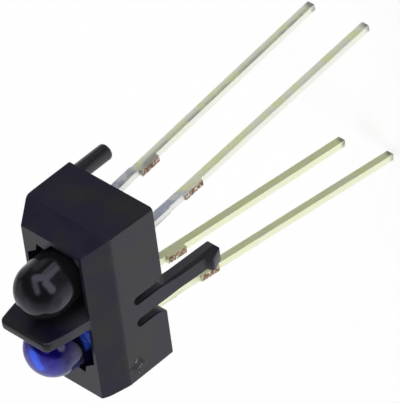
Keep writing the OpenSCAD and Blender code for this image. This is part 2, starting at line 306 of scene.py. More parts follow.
    def soften(self, width: float, sharp: float) -> None:
        """Gives a small radius to every edge that turns by more than an angle in degrees."""
        self.modify("BEVEL", width=width, segments=2, limit_method="ANGLE",
                    angle_limit=math.radians(sharp), use_clamp_overlap=True, miter_outer="MITER_ARC")

    def settle(self, place: Matrix | None = None) -> "Bench":
        """Applies the object's place to its mesh.

        Args:
            place: Where the object goes first, if it moves.

        Returns:
            The same mesh.
        """
        make_active(self.obj)
        if place is not None:
            self.obj.matrix_world = place @ self.obj.matrix_world
        bpy.ops.object.transform_apply(location=True, rotation=True, scale=True)
        return self

    def finish(
        self, name: str, place: Matrix, material: Material, slot: str, nodes: Sequence[str],
        smooth_angle: float = 40.0,
    ) -> bpy.types.Object:
        """Takes the mesh off the bench and dresses it.

        Args:
            name: Name of the piece.
            place: Where it goes, in millimetres.
            material: Its finish.
            slot: The record's material slot; not used.
            nodes: The solids that it stands for.
            smooth_angle: Largest angle between faces that are shaded as one, in degrees.

        Returns:
            The finished piece.
        """
        self.obj.name = name
        self.settle(TO_METRES @ place)
        bpy.ops.object.shade_smooth_by_angle(angle=math.radians(smooth_angle))
        self.modify("WEIGHTED_NORMAL", keep_sharp=True, weight=100)
        self.obj.data.materials.clear()
        self.obj.data.materials.append(material)
        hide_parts(*nodes)
        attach(self.obj, "root")
        LOG.info("piece %s: %d faces", self.obj.name, len(self.obj.data.polygons))
        return self.obj


# Shading


def operator(operation: str, swapped: bool = False) -> Callable[..., "Value"]:
    """A method of Value that adds one Math node.

    Args:
        operation: The node's operation.
        swapped: Whether the method's argument comes before the value, as in 1 - mask.

    Returns:
        The method.
    """
    def add_node(self: "Value", *others: Amount) -> "Value":
        """Adds the Math node."""
        inputs = (*others, self) if swapped else (self, *others)
        return self.graph.node("Math", {"operation": operation}, dict(enumerate(inputs)))

    return add_node


class Value:
    """An output of a shader's node, with arithmetic that adds Math nodes.

    least and most are the smaller and the larger of two values.
    """

    def __init__(self, graph: "Graph", socket: bpy.types.NodeSocket) -> None:
        """Keeps the graph and the socket."""
        self.graph = graph
        self.socket = socket

    __add__ = __radd__ = operator("ADD")
    __sub__, __rsub__ = operator("SUBTRACT"), operator("SUBTRACT", swapped=True)
    __mul__ = __rmul__ = operator("MULTIPLY")
    __truediv__ = operator("DIVIDE")
    __abs__ = operator("ABSOLUTE")
    least, most = operator("MINIMUM"), operator("MAXIMUM")

    def ramp(self, low: float, high: float) -> "Value":
        """Rises smoothly from 0 at low to 1 at high."""
        settings = {"interpolation_type": "SMOOTHSTEP"}
        return self.graph.node("MapRange", settings, {"Value": self, "From Min": low, "From Max": high})

    def fall(self, low: float, high: float) -> "Value":
        """Falls smoothly from 1 at low to 0 at high."""
        return 1.0 - self.ramp(low, high)


class Graph:
    """The nodes of one material or of the world."""

    def __init__(self, owner: Material | bpy.types.World) -> None:
        """Empties the nodes.

        Args:
            owner: What the nodes belong to.
        """
        self.owner = owner
        owner.use_nodes = True
        self.tree = owner.node_tree
        self.tree.nodes.clear()

    @classmethod
    def material(cls, name: str) -> "Graph":
        """The nodes of a new material."""
        return cls(bpy.data.materials.new(name))

    def node(
        self, kind: str, settings: dict[str, object] | None = None,
        inputs: dict[str | int, object] | None = None, output: str | int = 0,
    ) -> Value:
        """Adds one node.

        Args:
            kind: Type of the node, without its ShaderNode prefix.
            settings: Attributes that are set first.
            inputs: Values or links of its sockets, by name or number.
            output: The output that is wanted.

        Returns:
            That output.
        """
        node = self.tree.nodes.new("ShaderNode" + kind)
        for name, value in (settings or {}).items():
            setattr(node, name, value)
        for name, value in (inputs or {}).items():
            socket = node.inputs[name]
            if isinstance(value, Value):
                self.tree.links.new(value.socket, socket)
            elif socket.type == "RGBA":
                socket.default_value = (*value, 1.0)
            else:
                socket.default_value = value
        return Value(self, node.outputs[output])

    def parts(self, vector: Value) -> list[Value]:
        """The three parts of a vector."""
        outputs = self.node("SeparateXYZ", inputs={0: vector}).socket.node.outputs
        return [Value(self, socket) for socket in outputs]

    def spot(self, stretch: Vertex = (1.0, 1.0, 1.0)) -> Value:
        """Object coordinates in millimetres, times a factor along each axis."""
        scale = tuple(factor / MM for factor in stretch)
        return self.node("Mapping", inputs={0: self.node("TexCoord", output="Object"), "Scale": scale})

    def noise(self, scale: float, detail: float = 3.0, roughness: float = 0.5,
              stretch: Vertex = (1.0, 1.0, 1.0)) -> Value:
        """Noise with a scale counted per millimetre, from 0 to 1."""
        inputs = {"Vector": self.spot(stretch), "Scale": scale, "Detail": detail, "Roughness": roughness}
        return self.node("TexNoise", inputs=inputs, output="Fac")

    def attribute(self, name: str) -> Value:
        """A number that the mesh carries."""
        return self.node("Attribute", {"attribute_name": name}, output="Fac")

    def ray(self, kind: str) -> Value:
        """1 for rays of one kind, such as Camera, and 0 for others."""
        return self.node("LightPath", output=f"Is {kind} Ray")

    def mix(self, factor: Amount, first: Value | Colour, second: Value | Colour) -> Value:
        """Mixes two colours."""
        return self.node("Mix", {"data_type": "RGBA"}, {0: factor, 6: first, 7: second}, 2)

    def vector(self, operation: str, *inputs: Value | Vertex, output: str = "Vector") -> Value:
        """Adds one Vector Math node."""
        return self.node("VectorMath", {"operation": operation}, dict(enumerate(inputs)), output)

    def dot(self, vector: Value, axis: Sequence[float]) -> Value:
        """How far a vector reaches along an axis."""
        return self.vector("DOT_PRODUCT", vector, tuple(axis), output="Value")

    def apart(self, point: Vertex) -> Value:
        """Distance from a point, in millimetres."""
        return self.vector("DISTANCE", self.spot(), point, output="Value")

    def bump(self, height: Value, distance: float, strength: float = 1.0) -> Value:
        """A bumped normal; the distance is in millimetres."""
        return self.node("Bump", inputs={"Height": height, "Distance": distance * MM, "Strength": strength})

    def surface(self, **inputs: object) -> Material:
        """Ends the material in a Principled shader.

        Args:
            **inputs: Its sockets, with underscores for spaces.

        Returns:
            The material.
        """
        named = {name.replace("_", " "): value for name, value in inputs.items()}
        self.end(self.node("BsdfPrincipled", inputs=named))
        return self.owner

    def end(self, shader: Value, kind: str = "ShaderNodeOutputMaterial") -> None:
        """Links a shader to the output."""
        output = self.tree.nodes.new(kind)
        self.tree.links.new(shader.socket, output.inputs["Surface"])


@dataclass(frozen=True)
class Patch:
    """A soft round patch of directions, lighter or darker than what lies round it."""

    toward: Vertex
    spread: float
    softness: float
    level: float

    def share(self, g: Graph, toward: Value) -> Value:
        """1 in the middle of the patch, 0 away from it."""
        full, none = (math.cos(math.radians(a)) for a in (self.spread, self.spread + self.softness))
        return g.dot(toward, Vector(self.toward).normalized()).ramp(none, full)


@dataclass(frozen=True)
class Strip:
    """A soft strip of directions from one to another."""

    start: Vertex
    end: Vertex
    half_width: float
    softness: float
    level: float

    def share(self, g: Graph, toward: Value) -> Value:
        """How far a direction lies in the strip.

        Args:
            g: The nodes that it is worked out in.
            toward: The direction, one unit long.

        Returns:
            1 in the strip, 0 away from it.
        """
        start, end = (Vector(v).normalized() for v in (self.start, self.end))
        span = end - start
        part = ((g.dot(toward, span) - start.dot(span)) / span.length_squared).most(0.0).least(1.0)
        nearest = g.vector("NORMALIZE", g.vector("MULTIPLY_ADD", part, tuple(span), tuple(start)))
        near = g.vector("DOT_PRODUCT", toward, nearest, output="Value")
        full, none = (1.0 - width**2 / 2 for width in (self.half_width, self.half_width + self.softness))
        return near.ramp(none, full)


@dataclass(frozen=True)
class MouldedPlastic:
    """Satin black moulding with a violet cast, a faint grain, handling dust, painted light in its hollows
    and the scar of its gate.
    """

    violet: Colour = (0.0085, 0.0060, 0.0230)
    neutral: Colour = (0.0140, 0.0140, 0.0150)
    dust: Colour = (0.09, 0.09, 0.10)
    # Painted light for the hollows
    painted_hollow_light: Colour = (0.050, 0.047, 0.060)
    chipped: Colour = (0.20, 0.20, 0.21)
    pitted: Colour = (0.001, 0.001, 0.002)
    roughness: float = 0.23
    gate_at: Vertex = (-3.75, -2.85, 2.35)
    gate_r: float = 0.80
    gate_fade: float = 0.2
    pocket_slope: float = 0.125
    pocket_x: Point = (4.72, 4.82)
    pocket_y: Point = (1.90, 2.10)
    pocket_z: Point = (4.10, 4.26)
    foot_x: Point = (0.40, 0.55)
    foot_z: Point = (4.3, 6.2)
    clip_x: float = -0.53
    relief_x: Point = (1.30, 1.40)
    relief_z: Point = (2.0, 2.1)
    relief_front_y: Point = (-2.80, -2.70)
    relief_back_y: Point = (-2.2, -2.0)

    def material(self) -> Material:
        """Builds the finish.

        Returns:
            The material.
        """
        g = Graph.material("moulded_plastic")
        cloud = g.noise(0.50, detail=4.0)
        grain = g.noise(22.0, detail=4.0, roughness=0.6)
        specks = g.noise(9.0, detail=1.0).ramp(0.70, 0.78)
        chips = g.noise(4.5, roughness=0.7)
        scar = (g.apart(self.gate_at) + 0.9 * g.noise(2.5)).fall(self.gate_r, self.gate_r + self.gate_fade)
        colour = g.mix(cloud.ramp(0.38, 0.70), self.violet, self.neutral)
        # Painted light: the hollows are painted paler, standing in for light that reaches into them
        colour = g.mix(self.painted_light_in_hollows(g), colour, self.painted_hollow_light)
        colour = g.mix(specks * 0.2, colour, self.dust)
        colour = g.mix(scar * chips.ramp(0.58, 0.64), colour, self.chipped)
        return g.surface(
            Base_Color=g.mix(scar * chips.fall(0.44, 0.52), colour, self.pitted),
            Roughness=self.roughness + 0.14 * cloud + 0.2 * specks + 0.2 * scar,
            Normal=g.bump(grain + 6.0 * scar * chips, 0.004),
            Specular_IOR_Level=0.42,
        )

    def painted_light_in_hollows(self, g: Graph) -> Value:
        """Where painted light lifts the hollows: the pockets, the foot of the barrier and behind the clip.

        Args:
            g: The nodes that it is worked out in.

        Returns:
            1 there, 0 elsewhere.
        """
        x, y, z = g.parts(g.spot())
        between = abs(y).fall(*self.pocket_y)
        pockets = (abs(x) + self.pocket_slope * z).fall(*self.pocket_x) * between * z.fall(*self.pocket_z)
        foot = abs(x).fall(*self.foot_x) * between * z.fall(*self.foot_z)
        relief = abs(x - self.clip_x).fall(*self.relief_x) * z.fall(*self.relief_z)
        behind = relief * y.ramp(*self.relief_front_y) * y.fall(*self.relief_back_y)
        return pockets.most(foot).most(behind)


@dataclass(frozen=True)
class BlackEpoxy:
    """Glossy cast epoxy that looks black and is faintly brown in thin places."""

    colour: Colour = (0.0060, 0.0055, 0.0060)
    thin: Colour = (0.0110, 0.0100, 0.0120)
    tint: Colour = (0.80, 0.76, 1.0)
    roughness: float = 0.13

    def material(self) -> Material:
        """Builds the finish.

        Returns:
            The material.
        """
        g = Graph.material("black_epoxy")
        haze = g.noise(6.0)
        return g.surface(
            Base_Color=g.mix(haze, self.colour, self.thin),
            Roughness=self.roughness + 0.05 * haze,
            Normal=g.bump(g.noise(1.1, detail=2.0), 0.02, 0.5),
            Specular_IOR_Level=0.60,
            Specular_Tint=self.tint,
        )


@dataclass(frozen=True)
class BlueEpoxy:
    """Clear cast epoxy, dyed violet blue, with a painted streak of light and a painted glow on the dome,
    and painted shade low on the dome, on its side towards the barrier and on the barrel.
    """

    violet: Colour = (0.130, 0.095, 0.90)
    pale: Colour = (0.16, 0.12, 0.95)
    # Painted light: colour of the streak of light and of the spot
    painted_light_azure: Colour = (0.09, 0.22, 1.0)
    # Painted glow, given out as emission
    glow: Colour = (0.012, 0.045, 0.50)
    # Painted shade: the dome's side towards the barrier
    painted_barrier_shade: Colour = (0.020, 0.010, 0.36)
    # Painted shade: low on the dome
    painted_low_shade: Colour = (0.050, 0.038, 0.36)
    # Painted shade: the barrel down in the pocket
    painted_barrel_shade: Colour = (0.010, 0.010, 0.060)
    unlit: Colour = (0.0, 0.0, 0.0)
    roughness: float = 0.05
    centre: Vertex = (-1.96, 0.0, 5.22)
    # Painted light: a streak of light on the dome
    streak: Strip = Strip((0.40, -0.03, 0.91), (-0.02, -0.315, 0.94), 0.0, 0.23, 1.0)
    # Painted glow round the streak
    painted_halo: Strip = replace(streak, half_width=0.05, softness=0.35, level=0.24)
    # Painted shade: where the dome darkens low down, towards the barrier and on the barrel
    painted_low_shade_z: Point = (0.25, 0.70)
    painted_shade_way: Vertex = (0.979, -0.201, -0.029)
    painted_shade_edge: Point = (0.43, 0.53)
    barrel_shade_z: Point = (4.75, 4.95)
    # Painted light: the blue spot on the barrel
    painted_spot_z: Point = (4.28, 4.52)
    painted_spot_x: Point = (-2.10, -1.80)

    def material(self) -> Material:
        """Builds the finish.

        A painted glow lies round the painted streak of light, and the spot is painted blue light where the
        barrel shows between the barrier and the side.

        Returns:
            The material.
        """
        g = Graph.material("blue_epoxy")
        haze = g.noise(5.0)
        outward = g.vector("NORMALIZE", g.vector("SUBTRACT", g.spot(), self.centre))
        x, _, z = g.parts(g.spot())
        # Painted light: the streak and the glow round it
        bright, painted_halo = self.streak.share(g, outward), self.painted_halo.level * self.painted_halo.share(g, outward)
        # Painted shade: low on the dome, towards the barrier and on the barrel
        low = g.parts(outward)[Z].fall(*self.painted_low_shade_z)
        dark = g.dot(outward, self.painted_shade_way).ramp(*self.painted_shade_edge)
        barrel = z.fall(*self.barrel_shade_z)
        # Painted light: the blue spot on the barrel
        spot = z.fall(*self.painted_spot_z) * x.ramp(*self.painted_spot_x)
        # Painted shade low on the dome
        colour = g.mix(low, g.mix(haze * 0.4, self.violet, self.pale), self.painted_low_shade)
        # Painted light: the streak in the colour
        colour = g.mix(bright, colour, self.painted_light_azure)
        # Painted shade towards the barrier and on the barrel
        colour = g.mix(barrel, g.mix(dark, colour, self.painted_barrier_shade), self.painted_barrel_shade)
        # Painted glow: the streak, the glow round it and the spot
        lit = (bright.most(painted_halo) * (1.0 - 0.85 * dark) * (1.0 - barrel)).most(spot * 0.15)
        return g.surface(
            # Painted light: the blue spot in the colour
            Base_Color=g.mix(spot, colour, self.painted_light_azure),
            Roughness=self.roughness + 0.04 * haze,
            Normal=g.bump(g.noise(1.2, detail=2.0), 0.02, 0.5),
            Transmission_Weight=0.75,
            IOR=1.53,
            Specular_IOR_Level=0.4,
            # Painted glow, given out as emission
            Emission_Color=g.mix(lit, self.unlit, self.glow),
            Emission_Strength=1.0,
        )


@dataclass(frozen=True)
class TinnedMetal:
    """Dull tin plating with drawn streaks, bare copper colour where it was sheared, a painted dark
    reflection along one edge of the detector leads' front faces, and painted light on the faces that look
    to -Y.

    The leads carry two attributes. "sheared" is 1 on a sheared face and less on a lead's tip. "across" runs
    over a front face from edge to edge, and is above the front faces' values on all others.
    """

    colour: Colour = (0.94, 0.98, 0.56)
    pale: Colour = (0.97, 0.98, 0.86)
    cool: Colour = (0.76, 0.79, 0.82)
    mottle: Colour = (0.50, 0.54, 0.66)
    copper: Colour = (0.42, 0.24, 0.16)
    burnt: Colour = (0.10, 0.07, 0.06)
    stain: Colour = (0.20, 0.20, 0.19)
    # Painted dark reflection
    painted_dark_reflection: Colour = (0.36, 0.37, 0.32)
    # Painted light for the faces that look to -Y
    painted_light_side: Colour = (0.99, 0.99, 0.93)
    tips: tuple[Vertex, ...] = (
        (4.53, 1.68, -16.48), (4.57, -1.68, -16.88), (-4.95, 1.33, -17.15), (-5.05, -1.33, -17.94),
    )
    tip_r: float = 0.32
    tip_fade: float = 0.3
    middle: Point = (-0.5, 0.5)
    shoulder_z: Point = (-3.2, -1.6)
    # Where across the front face the painted dark reflection lies
    dark_reflection_band: Point = (-1.1, 0.5)
    front: Point = (1.3, 1.7)
    # Which faces get the painted light, by across
    side: Point = (3.4, 3.8)

    def near_tip(self, g: Graph) -> Value:
        """The stained end of each lead.

        Args:
            g: The nodes that it is worked out in.

        Returns:
            1 there, 0 away from it.
        """
        nearest, *others = (g.apart(tip) for tip in self.tips)
        for other in others:
            nearest = nearest.least(other)
        return (nearest + 0.3 * g.noise(3.0)).fall(self.tip_r, self.tip_r + self.tip_fade)

    def material(self) -> Material:
        """Builds the finish.

        Returns:
            The material.
        """
        g = Graph.material("tinned_metal")
        streak, blotch = g.noise(3.0, stretch=(3.0, 3.0, 0.25)), g.noise(1.3)
        rough_cut = g.noise(7.0, detail=4.0, roughness=0.7)
        sheared, across = g.attribute("sheared"), g.attribute("across")
        x, y, z = g.parts(g.spot())
        # side picks the faces that look to -Y, which are painted lighter
        bare, side = sheared * rough_cut.ramp(0.30, 0.55), across.ramp(*self.side)
        detector = x.ramp(*self.middle)
        paleness = blotch.ramp(0.35, 0.65) * (0.30 + 0.70 * x.ramp(-2.0, 2.0))
        shoulder = g.mix(g.noise(2.2, detail=2.0).ramp(0.42, 0.58), self.cool, self.mottle)
        by_body = detector * (z + 1.5 * blotch).ramp(*self.shoulder_z)
        # Painted reflection: dark along one edge of each detector lead's front face
        dark_reflection_band = across.fall(*self.dark_reflection_band) * detector * (0.25 + 0.75 * y.ramp(*self.middle))
        plate = g.mix(by_body, g.mix(paleness, self.colour, self.pale), shoulder)
        # Painted dark reflection on the plating
        plate = g.mix(dark_reflection_band * (0.45 + 0.45 * blotch.ramp(0.40, 0.60)), plate, self.painted_dark_reflection)
        # Painted light on the faces that look to -Y
        plate = g.mix(side * (0.35 + 0.45 * detector), plate, self.painted_light_side)
        plate = g.mix(self.near_tip(g) * (0.35 + rough_cut).least(1.0), plate, self.stain)
        cut = g.mix(rough_cut.ramp(0.45, 0.70), self.copper, self.burnt)
        return g.surface(
            Base_Color=g.mix(bare, plate, cut),
            Metallic=0.72 - 0.20 * bare + 0.16 * side - 0.24 * across.fall(*self.front) * detector,
            Roughness=0.30 + 0.16 * streak + 0.2 * bare,
            Normal=g.bump(streak + rough_cut * sheared * 3.0, 0.006),
        )


@dataclass(frozen=True)
class InnerFinish:
    """The finish of a small piece inside a lens, between two tones of one colour."""

    ending: str
    name: str
    dark: Colour
    light: Colour
    metallic: float
    roughness: float
    unevenness: float
    scale: float
    detail: float = 3.0
    stretch: Vertex = (1.0, 1.0, 1.0)

    def material(self) -> Material:
        """Builds the finish.

        Returns:
            The material.
        """
        g = Graph.material(self.name)
        tone = g.noise(self.scale, self.detail, stretch=self.stretch)
        return g.surface(
            Base_Color=g.mix(tone, self.dark, self.light), Metallic=self.metallic,
            Roughness=self.roughness + self.unevenness * tone,
        )


# Pieces


@dataclass(frozen=True)
class LensSeat:
    """Where one lens sits: an axis beside the barrier that leans towards it."""

    side: Side
    x: float
    tilt: float

    def matrix(self) -> Matrix:
        """The lens axis as a matrix from its own upright frame."""
        turn = Matrix.Rotation(math.radians(-self.side.value * self.tilt), 4, "Y")
        return Matrix.Translation((self.side.value * self.x, 0, 0)) @ turn


@dataclass
class Housing:
    """The moulded housing: drafted block, lens pockets with ribs, barrier, snap clip and peg."""

    seats: Sequence[LensSeat]
    plastic: MouldedPlastic = MouldedPlastic()
    length: float = 10.2
    width: float = 5.8
    shoulder_z: float = 3.0
    front_z: float = 4.3
    end_setback: float = 0.65
    side_setback: float = 0.78
    draft: float = 1.4
    edge_r: float = 0.05
    fold_round: float = 0.16
    corner_cut: Point = (0.5, 0.82)
    corner_edge_r: float = 0.12
    corner_edge_l: float = 0.9
    corner_r: float = 0.28
    corner_proud: float = 0.02
    barrier_t: float = 0.56
    barrier_x: float = 0.05
    barrier_top_z: float = 7.0
    barrier_top_half: float = 1.63
    barrier_sunk: float = 0.5
    barrier_corner_r: float = 0.35
    barrier_edge_r: float = 0.15
    pocket_half_w: float = 1.85
    pocket_outer: float = 2.08
    rib_z: float = 1.3
    low_rib_z: float = 3.8
    rib_outline: tuple[Point, ...] = (
        (0.60, 2.00), (0.76, 1.78), (1.16, 1.21), (1.62, 1.10),
        (1.53, 0.55), (2.02, 0.05), (2.30, 0.00), (2.30, 2.00),
    )
    clip_x: float = -0.53
    clip_root_w: float = 0.92
    clip_arm_w: float = 0.76
    clip_t: float = 0.75
    clip_end_t: float = 0.84
    clip_lean: float = 0.23
    clip_end_lean: float = 0.04
    clip_l: float = 3.78
    clip_root_z: float = 1.2
    clip_taper_z: float = 1.0
    clip_back_in: Point = (0.05, 0.025)
    clip_edge_r: float = 0.05
    lean_z: float = 0.3
    catch_z: float = 2.82
    barb: tuple[Point, ...] = ((0.32, 0.25), (0.30, 0.10), (0.0, 0.0))
    slot_w: float = 0.52
    slot_depth: float = 2.02
    slot_flare: float = 0.22
    slot_flare_z: float = 0.55
    slot_overlap: float = 0.15
    peg_r: float = 0.45
    peg_l: float = 2.15
    peg_root: float = 0.5
    peg_at: Point = (4.56, 2.33)
    peg_tip_r: float = 0.18
    past: float = 1.0

    def block(self) -> Bench:
        """The drafted block with its shoulder, leaning sides and cut corners.

        Returns:
            The mesh.
        """
        half_l, half_w = self.length / 2, self.width / 2
        body = Bench.block((-half_l, -half_w, 0), (half_l, half_w, self.shoulder_z))
        high_l, high_w = (half - slope(self.draft) * self.shoulder_z for half in (half_l, half_w))
        rise = self.front_z - self.shoulder_z
        drift = slope(self.draft) * rise
        with body.editing():
            body.pick(Kind.FACE, lambda f: f.normal.z > FACES)
            resize(high_l / half_l, high_w / half_w, 1)
            extrude((0, 0, rise))
            resize((high_l - drift) / high_l, (high_w - self.side_setback) / high_w, 1)
            body.pick(Kind.VERT, lambda v: v.co.z > self.front_z - NEAR and v.co.x > 0)
            bpy.ops.transform.translate(value=(drift - self.end_setback, 0, 0))
        body.round_edges(
            lambda e: all(abs(v.co.z - self.shoulder_z) < NEAR for v in e.verts) and reach(e, Y) < NEAR,
            self.fold_round, 4,
        )
        cut_l, cut_w = self.corner_cut
        for row in (-1, 1):
            body.cut_off((-half_l + cut_l, row * half_w, 0), (-cut_w, row * cut_l, 0))
            body.combine(self.corner(row), "DIFFERENCE")
        beside = -half_l + cut_l + self.edge_r
        body.round_edges(
            lambda e: all(v.co.x < beside for v in e.verts) and reach(e, Z) > self.corner_edge_l,
            self.corner_edge_r, 3,
        )
        return body

    def corner(self, row: int) -> Bench:
        """What is taken off a corner at the detector end to round it; the round fades out upwards.

        Args:
            row: 1 for the +Y side and -1 for the -Y side.

        Returns:
            The mesh.
        """
        x, y = self.length / 2, row * self.width / 2
        inset, far_x, far_y = self.corner_r - self.corner_proud, x + self.past, y + row * self.past
        turn = arc((x - inset, y - row * inset), self.corner_r, 0, 90 * row, 10)
        outline = [(far_x, y - row * inset), *turn, (x - inset, far_y), (far_x, far_y)]
        return Bench.prism(outline, "XY", -self.past, self.front_z + self.past)

    def pocket(self, seat: LensSeat) -> Bench:
        """The space round one lens, with the locating ribs left standing.

        Args:
            seat: Where the lens sits.

        Returns:
            The mesh.
        """
        sign, drift = seat.side.value, slope(seat.tilt)
        top, outer = self.front_z + self.past, seat.x + self.pocket_outer
        inner = self.barrier_x + sign * self.barrier_t / 2
        outline = [
            (inner, -self.past), (sign * (outer + drift * self.past), -self.past),
            (sign * (outer - drift * top), top), (inner, top),
        ]
        space = Bench.prism(outline, "XZ", -self.pocket_half_w, self.pocket_half_w)
        for row in (-1, 1):
            rib_outline = [(sign * x, row * y) for x, y in self.rib_outline]
            rib_top = top + self.past if row == sign else self.low_rib_z
            rib = Bench.prism(rib_outline, "XY", self.rib_z, rib_top)
            space.combine(rib.settle(seat.matrix()), "DIFFERENCE")
        return space

    def barrier(self) -> Bench:
        """The wall between the lenses, with round corners and a round top edge.

        Returns:
            The mesh.
        """
        front_half = self.width / 2 - slope(self.draft) * self.shoulder_z - self.side_setback
        run = (front_half - self.barrier_top_half) / (self.barrier_top_z - self.front_z)
        foot_half, foot_z = front_half + run * self.barrier_sunk, self.front_z - self.barrier_sunk
        outline = [
            (-foot_half, foot_z), (foot_half, foot_z),
            (self.barrier_top_half, self.barrier_top_z), (-self.barrier_top_half, self.barrier_top_z),
        ]
        near_x, far_x = (self.barrier_x + side * self.barrier_t / 2 for side in (-1, 1))
        wall = Bench.prism(outline, "YZ", near_x, far_x)
        top = self.barrier_top_z - NEAR
        wall.round_edges(
            lambda e: all(v.co.z > top for v in e.verts) and reach(e, X) > NEAR, self.barrier_corner_r, 8
        )
        wall.round_edges(
            lambda e: all(v.co.z > foot_z + NEAR for v in e.verts) and reach(e, X) < NEAR,
            self.barrier_edge_r, 4,
        )
        return wall

    def slots(self) -> list[Bench]:
        """The two round-ended slots beside the clip, flared at the seat, and the relief behind it.

        Returns:
            The meshes.
        """
        inner_y, outer_y = self.slot_overlap - self.pocket_half_w, -self.width / 2 - self.past
        radius, half_pitch = self.slot_w / 2, (self.clip_root_w + self.slot_w) / 2
        flare = radius + self.slot_flare * (1 + self.past / self.slot_flare_z)
        cutters = []
        for edge in (-1, 1):
            middle = self.clip_x + edge * half_pitch
            end = arc((middle, self.slot_depth - radius), radius, 0, 180, 16)
            outline = [
                (middle - edge * radius, -self.past), (middle + edge * flare, -self.past),
                (middle + edge * radius, self.slot_flare_z),
                *[(middle + edge * (x - middle), z) for x, z in end],
            ]
            cutters.append(Bench.prism(outline, "XZ", outer_y, inner_y))
        near = (self.clip_x - half_pitch, self.clip_t - self.width / 2, -self.past)
        cutters.append(Bench.block(near, (self.clip_x + half_pitch, inner_y, self.slot_depth)))
        return cutters

    def clip(self) -> Bench:
        """The sprung arm, which leans out to its catch, with the barb and its lead-in.

        Returns:
            The mesh.
        """
        face = -self.width / 2
        inner = face + self.clip_t
        lean_y = face + slope(self.draft) * self.lean_z
        arm_y = lean_y - self.clip_lean
        end_y = arm_y - self.clip_end_lean
        root_y = lean_y + self.clip_lean / (self.lean_z + self.catch_z) * (self.clip_root_z - self.lean_z)
        root_in, seat_in = self.clip_back_in
        outline = [
            (root_y, self.clip_root_z), (inner - root_in, self.clip_root_z), (inner - seat_in, 0),
            (end_y + self.clip_end_t, -self.clip_l), (end_y, -self.clip_l),
            *[(arm_y - out, -self.catch_z - down) for out, down in self.barb],
        ]
        root, half = self.clip_root_w / 2 - NEAR, self.clip_arm_w / 2
        front = [
            (root, self.clip_root_z + self.past), (root, 0), (half, -self.clip_taper_z),
            (half, -self.clip_l - self.past),
        ]
        front = [*front, *[(-x, z) for x, z in reversed(front)]]
        arm = Bench.prism(outline, "YZ", self.clip_x - self.past, self.clip_x + self.past)
        placed = [(self.clip_x + x, z) for x, z in front]
        arm.combine(Bench.prism(placed, "XZ", -self.width, 0), "INTERSECT")
        arm.round_edges(
            lambda e: all(v.co.z < -self.clip_taper_z - NEAR for v in e.verts) and reach(e, X) > NEAR,
            self.clip_edge_r, 3,
        )
        return arm

    def peg(self) -> Bench:
        """The round locating peg with a soft tip.

        Returns:
            The mesh.
        """
        circle = arc(self.peg_at, self.peg_r, 90, 450, 48)[:-1]
        rod = Bench.prism(circle, "XY", -self.peg_l, self.peg_root)
        return rod.round_edges(
            lambda e: all(v.co.z < NEAR - self.peg_l for v in e.verts), self.peg_tip_r, 4
        )

    def build(self) -> None:
        """Builds and dresses the housing."""
        body = self.block()
        for seat in self.seats:
            body.combine(self.pocket(seat), "DIFFERENCE")
        for cutter in self.slots():
            body.combine(cutter, "DIFFERENCE")
        for part in (self.barrier(), self.clip(), self.peg()):
            body.combine(part, "UNION")
        with body.editing():
            body.merge_doubles()
            bpy.ops.mesh.dissolve_limited(angle_limit=math.radians(0.5))
        body.soften(self.edge_r, 28.0)
        plastic = self.plastic.material()
        body.finish("housing_moulding", Matrix.Identity(4), plastic, "black_plastic", ["housing"])


@dataclass
class Lens:
    """One cast lens package: flange with its flat, barrel and dome."""

    seat: LensSeat
    node: str
    epoxy: BlueEpoxy | BlackEpoxy
    slot: str
    radius: float = 1.5
    dome_z: float = 5.26
    base_z: float = 0.3
    flange_r: float = 1.8
    flange_top: float = 1.3
    flat_at: float = 1.62
    edge_r: float = 0.06
    root_r: float = 0.05
    past: Vertex = (3.0, 4.0, 1.0)

    def profile(self) -> list[Point]:
        """The turned profile, from the axis at the base to the axis at the top of the dome.

        Returns:
            Its points.
        """
        e, r = self.edge_r, self.flange_r
        return [
            (0.0, self.base_z),
            *arc((r - e, self.base_z + e), e, -90, 0, 3),
            *arc((r - e, self.flange_top - e), e, 0, 90, 3),
            (self.radius + self.root_r, self.flange_top),
            (self.radius, self.flange_top + self.root_r),
            *arc((0.0, self.dome_z), self.radius, 0, 90, 24),
        ]

    def build(self) -> None:
        """Builds and dresses the lens."""
        lens = Bench.turned(self.profile(), 96)
        x, y, z = self.past
        high = (x, y, self.flange_top + NEAR / 10)
        lens.combine(Bench.block((-x, self.flat_at, self.base_z - z), high), "DIFFERENCE")
        lens.finish(self.node + "_cast", self.seat.matrix(), self.epoxy.material(), self.slot, [self.node])


